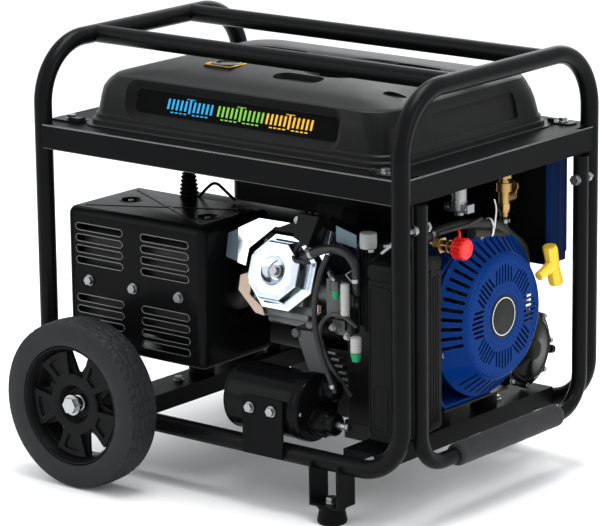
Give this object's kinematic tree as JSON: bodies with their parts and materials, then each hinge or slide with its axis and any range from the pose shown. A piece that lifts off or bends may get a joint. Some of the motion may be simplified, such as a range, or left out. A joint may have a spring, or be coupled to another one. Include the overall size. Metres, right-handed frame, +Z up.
{
  "type": "portable generator",
  "caption": "Portable open-frame engine generator on two wheels with a folding handle, tube cradle, fuel tank, recoil starter and outlet panel.",
  "frame": {"origin": "on the ground under the middle of the bounding box", "axes": "+X from the wheels to the recoil starter, +Y towards the control panel, +Z up"},
  "size_m": [0.7805, 0.744, 0.718],
  "materials": {
    "frame_black": "satin black powder coat",
    "sheet_black": "satin black powder coat on sheet",
    "guard_black": "gloss black enamel",
    "tank_black": "satin black",
    "blue_enamel": "gloss blue",
    "bare_aluminium": "die cast",
    "bright_cover": "bright plated steel",
    "steel": "machined",
    "zinc": "zinc plated",
    "iron": "as cast",
    "brass": "machined",
    "black_plastic": "moulded",
    "gloss_plastic": "moulded gloss",
    "wheel_plastic": "moulded",
    "tyre_rubber": "solid rubber",
    "rubber": "moulded",
    "foam": "closed-cell foam",
    "hose_rubber": "smooth hose",
    "yellow": "moulded",
    "red": "moulded",
    "panel_face": "moulded blue",
    "outlet_face": "moulded",
    "gauge_face": "bezel and window"
  },
  "bodies": {
    "frame": {"air_cleaner": "black_plastic", "alternator_housing": "sheet_black", "axle_bolts": "steel", "axle_brackets": "sheet_black", "battery": "black_plastic", "brass_fittings": "brass", "canister_bracket": "sheet_black", "carburettor": "bare_aluminium", "control_panel": "panel_face", "crankcase": "bare_aluminium", "cylinder": "bare_aluminium", "cylinder_head": "bare_aluminium", "cylinder_shroud": "bright_cover", "engine_crossmembers": "sheet_black", "evap_canister": "gloss_plastic", "fan_housing": "blue_enamel", "far_base_rail": "frame_black", "fasteners": "zinc", "foot_brackets": "sheet_black", "fuel_gauge": "gauge_face", "fuel_tank": "tank_black", "gas_inlet_cap": "red", "gas_regulator": "gloss_plastic", "hoses": "hose_rubber", "left_end_hoop": "frame_black", "muffler": "iron", "muffler_guard": "guard_black", "near_base_rail": "frame_black", "outlets": "outlet_face", "purge_valve": "black_plastic", "recoil_cover": "blue_enamel", "right_end_hoop": "frame_black", "rocker_cover": "bright_cover", "rubber_feet": "rubber", "solenoid_valve": "zinc", "spark_plug": "rubber", "starter_motor": "sheet_black", "stator": "iron", "tank_rails": "sheet_black", "top_bars": "frame_black", "vibration_mounts": "rubber"},
    "near_wheel": {"near_tyre": "tyre_rubber", "near_wheel_hub": "wheel_plastic"},
    "far_wheel": {"far_tyre": "tyre_rubber", "far_wheel_hub": "wheel_plastic"},
    "handle": {"handle_tube": "frame_black", "handle_grip": "foam"},
    "crank": {"crankshaft": "steel", "flywheel": "iron", "alternator_rotor": "steel"},
    "piston": {"piston": "bare_aluminium"},
    "starter_pulley": {"recoil_pulley": "black_plastic"},
    "starter_handle": {"pull_handle": "yellow"},
    "fuel_cap": {"fuel_cap": "black_plastic"},
    "tap_lever": {"tap_lever": "brass"},
    "start_button": {"start_button": "red"},
    "ignition_switch": {"ignition_switch": "gloss_plastic"},
    "main_breaker": {"main_breaker": "black_plastic"},
    "left_outlet_cover": {"left_outlet_cover": "black_plastic"},
    "right_outlet_cover": {"right_outlet_cover": "black_plastic"}
  },
  "joints": [
    {"name": "near_wheel_spin", "type": "hinge", "parent": "frame", "child": "near_wheel", "pos_m": [-0.228, -0.34, 0.14], "axis": [0, 1, 0], "continuous": true},
    {"name": "far_wheel_spin", "type": "hinge", "parent": "frame", "child": "far_wheel", "pos_m": [-0.228, 0.34, 0.14], "axis": [0, 1, 0], "continuous": true},
    {"name": "handle_fold", "type": "hinge", "parent": "frame", "child": "handle", "pos_m": [0.3715, 0, 0.491], "axis": [0, -1, 0], "range_deg": [0, 95]},
    {"name": "crank_spin", "type": "hinge", "parent": "frame", "child": "crank", "pos_m": [0.1, 0.05, 0.29], "axis": [1, 0, 0], "continuous": true},
    {"name": "piston_stroke", "type": "slide", "parent": "frame", "child": "piston", "axis": [0, -0.9455, 0.3256], "range_m": [0, 0.066]},
    {"name": "starter_pull", "type": "slide", "parent": "frame", "child": "starter_handle", "axis": [0, 0.9613, 0.2756], "range_m": [0, 0.33], "stiffness_N_per_m": 20, "springref_m": -0.05},
    {"name": "starter_pulley_turn", "type": "hinge", "parent": "frame", "child": "starter_pulley", "pos_m": [0.312, 0.05, 0.29], "axis": [-1, 0, 0], "range_deg": [0, 421]},
    {"name": "fuel_cap_turn", "type": "hinge", "parent": "frame", "child": "fuel_cap", "pos_m": [0.079, -0.002, 0.67], "axis": [0, 0, 1], "range_deg": [0, 90]},
    {"name": "fuel_tap_turn", "type": "hinge", "parent": "frame", "child": "tap_lever", "pos_m": [0.29, 0.144, 0.466], "axis": [0, 1, 0], "range_deg": [0, 90]},
    {"name": "start_button_press", "type": "slide", "parent": "frame", "child": "start_button", "axis": [0, -1, 0], "range_m": [0, 0.004], "stiffness_N_per_m": 400},
    {"name": "ignition_switch_rock", "type": "hinge", "parent": "frame", "child": "ignition_switch", "pos_m": [-0.15, 0.257, 0.42], "axis": [1, 0, 0], "range_deg": [0, 16]},
    {"name": "main_breaker_throw", "type": "hinge", "parent": "frame", "child": "main_breaker", "pos_m": [-0.15, 0.256, 0.374], "axis": [1, 0, 0], "range_deg": [0, 35]},
    {"name": "left_cover_flip", "type": "hinge", "parent": "frame", "child": "left_outlet_cover", "pos_m": [-0.06, 0.269, 0.51], "axis": [1, 0, 0], "range_deg": [0, 110]},
    {"name": "right_cover_flip", "type": "hinge", "parent": "frame", "child": "right_outlet_cover", "pos_m": [0.06, 0.269, 0.51], "axis": [1, 0, 0], "range_deg": [0, 110]}
  ],
  "couplings": [
    {"joint": "starter_pulley_turn", "follows": "starter_pull", "rad_per_m": 22.222}
  ]
}
